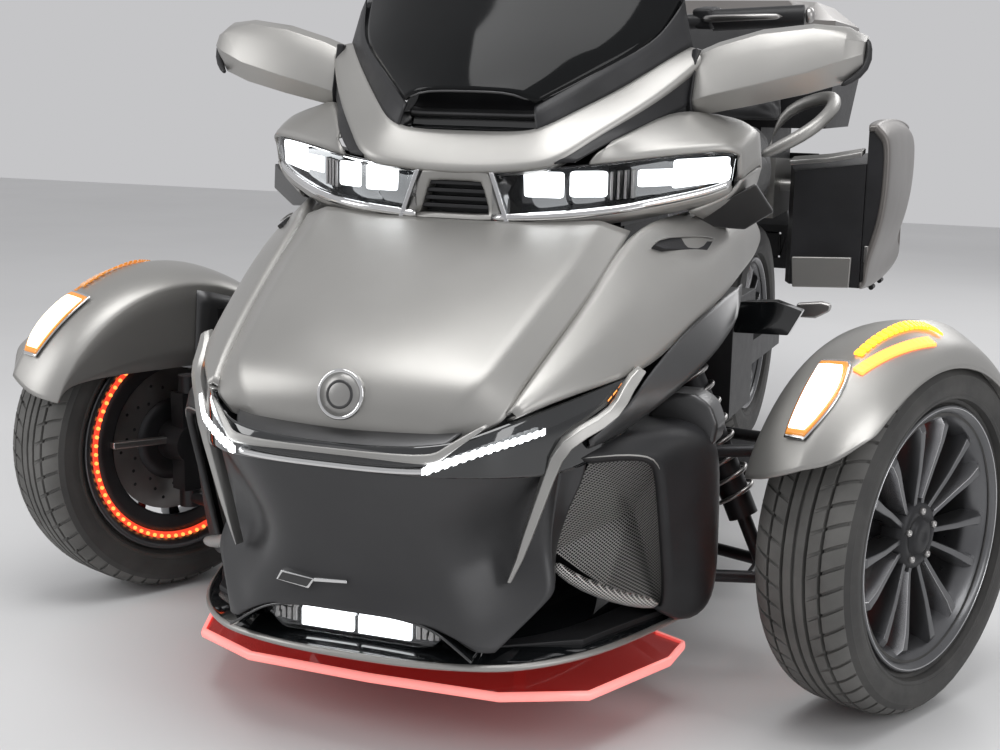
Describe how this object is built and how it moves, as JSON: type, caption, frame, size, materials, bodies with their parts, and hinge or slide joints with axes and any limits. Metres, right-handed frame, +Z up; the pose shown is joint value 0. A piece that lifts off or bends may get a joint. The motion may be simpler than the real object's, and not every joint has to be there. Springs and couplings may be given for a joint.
{
  "type": "three-wheeled motorcycle",
  "caption": "Full-size three-wheeled touring motorcycle with steered twin front wheels, storage cases and opening lids",
  "frame": {"origin": "on the ground, under the middle of the overall length and width", "axes": "+X is the rider's left, +Y points to the rear, +Z is up; the front faces -Y"},
  "size_m": [1.7463, 2.83, 1.464],
  "materials": {
    "satin_grey": "satin",
    "dark_plastic": "matte",
    "gloss_black": "gloss",
    "silver_trim": "satin",
    "tyre_rubber": "matte",
    "dark_alloy": "satin",
    "dark_steel": "matte",
    "bare_steel": "satin",
    "lamp_glass": "gloss",
    "red_lens": "gloss",
    "red_acrylic": "gloss",
    "tinted_glass": "gloss",
    "woven_mesh": "satin",
    "seat_leather": "matte",
    "grip_rubber": "matte"
  },
  "bodies": {
    "chassis": {"side_panels": "satin_grey", "cowl": "satin_grey", "lamp_brows": "satin_grey", "mirrors": "satin_grey", "console": "satin_grey", "tail_shell": "satin_grey", "lower_nose": "dark_plastic", "intake_pods": "dark_plastic", "chin_tray": "dark_plastic", "dash": "dark_plastic", "inner_fairing": "dark_plastic", "lamp_backs": "dark_plastic", "side_ducts": "dark_plastic", "front_tub": "dark_plastic", "left_case": "dark_plastic", "right_case": "dark_plastic", "top_case": "dark_plastic", "rear_guard": "dark_plastic", "footboards": "dark_plastic", "top_rack": "dark_plastic", "nose_band": "gloss_black", "centre_grille": "gloss_black", "deflectors": "gloss_black", "nose_blades": "silver_trim", "grab_rails": "silver_trim", "frame": "dark_steel", "engine": "dark_steel", "upper_arms": "dark_steel", "lower_arms": "dark_steel", "shocks": "dark_steel", "swingarm": "dark_steel", "exhaust": "bare_steel", "headlamps": "lamp_glass", "fog_lamp": "lamp_glass", "tail_lamps": "red_lens", "splitter": "red_acrylic", "screen": "tinted_glass", "intake_meshes": "woven_mesh", "rider_seat": "seat_leather", "pillion_seat": "seat_leather", "backrest": "seat_leather"},
    "hood": {"hood_lid": "satin_grey"},
    "left_pannier_lid": {"left_case_lid": "satin_grey"},
    "right_pannier_lid": {"right_case_lid": "satin_grey"},
    "top_lid": {"top_case_lid": "satin_grey"},
    "bars": {"handlebar": "grip_rubber"},
    "left_corner": {"left_knuckle": "dark_steel", "left_fender": "satin_grey"},
    "right_corner": {"right_knuckle": "dark_steel", "right_fender": "satin_grey"},
    "left_wheel": {"left_tyre": "tyre_rubber", "left_rim": "dark_alloy"},
    "right_wheel": {"right_tyre": "tyre_rubber", "right_rim": "dark_alloy"},
    "back_wheel": {"rear_tyre": "tyre_rubber", "rear_rim": "dark_alloy"}
  },
  "joints": [
    {"name": "hood_hinge", "type": "hinge", "parent": "chassis", "child": "hood", "pos_m": [0, -1.4075, 0.472], "axis": [1, 0, 0], "range_deg": [0, 60]},
    {"name": "left_pannier_hinge", "type": "hinge", "parent": "chassis", "child": "left_pannier_lid", "pos_m": [0.44025, 0.7985, 0.476], "axis": [0, 1, 0], "range_deg": [0, 50]},
    {"name": "right_pannier_hinge", "type": "hinge", "parent": "chassis", "child": "right_pannier_lid", "pos_m": [-0.44025, 0.7985, 0.476], "axis": [0, -1, 0], "range_deg": [0, 50]},
    {"name": "top_case_hinge", "type": "hinge", "parent": "chassis", "child": "top_lid", "pos_m": [-0.307, 1.0285, 1.00025], "axis": [0, -1, 0], "range_deg": [0, 60]},
    {"name": "steer_left", "type": "hinge", "parent": "chassis", "child": "left_corner", "pos_m": [0.602, -0.8015, 0.281], "axis": [0, 0, 1], "range_deg": [-5, 51]},
    {"name": "steer_right", "type": "hinge", "parent": "chassis", "child": "right_corner", "pos_m": [-0.602, -0.8015, 0.281], "axis": [0, 0, 1], "range_deg": [-5, 51]},
    {"name": "bars_turn", "type": "hinge", "parent": "chassis", "child": "bars", "pos_m": [0, -0.5015, 0.88], "axis": [0, 0.3976, 0.9176], "range_deg": [-5, 51]},
    {"name": "spin_left", "type": "hinge", "parent": "left_corner", "child": "left_wheel", "pos_m": [0.68485, -0.83667, 0.281], "axis": [0.9205, -0.3907, 0], "continuous": true},
    {"name": "spin_right", "type": "hinge", "parent": "right_corner", "child": "right_wheel", "pos_m": [-0.68485, -0.76633, 0.281], "axis": [0.9205, -0.3907, 0], "continuous": true},
    {"name": "spin_rear", "type": "hinge", "parent": "chassis", "child": "back_wheel", "pos_m": [0, 0.9125, 0.303], "axis": [1, 0, 0], "continuous": true}
  ],
  "couplings": [
    {"joint": "steer_right", "follows": "steer_left", "ratio": 1},
    {"joint": "bars_turn", "follows": "steer_left", "ratio": 1}
  ]
}
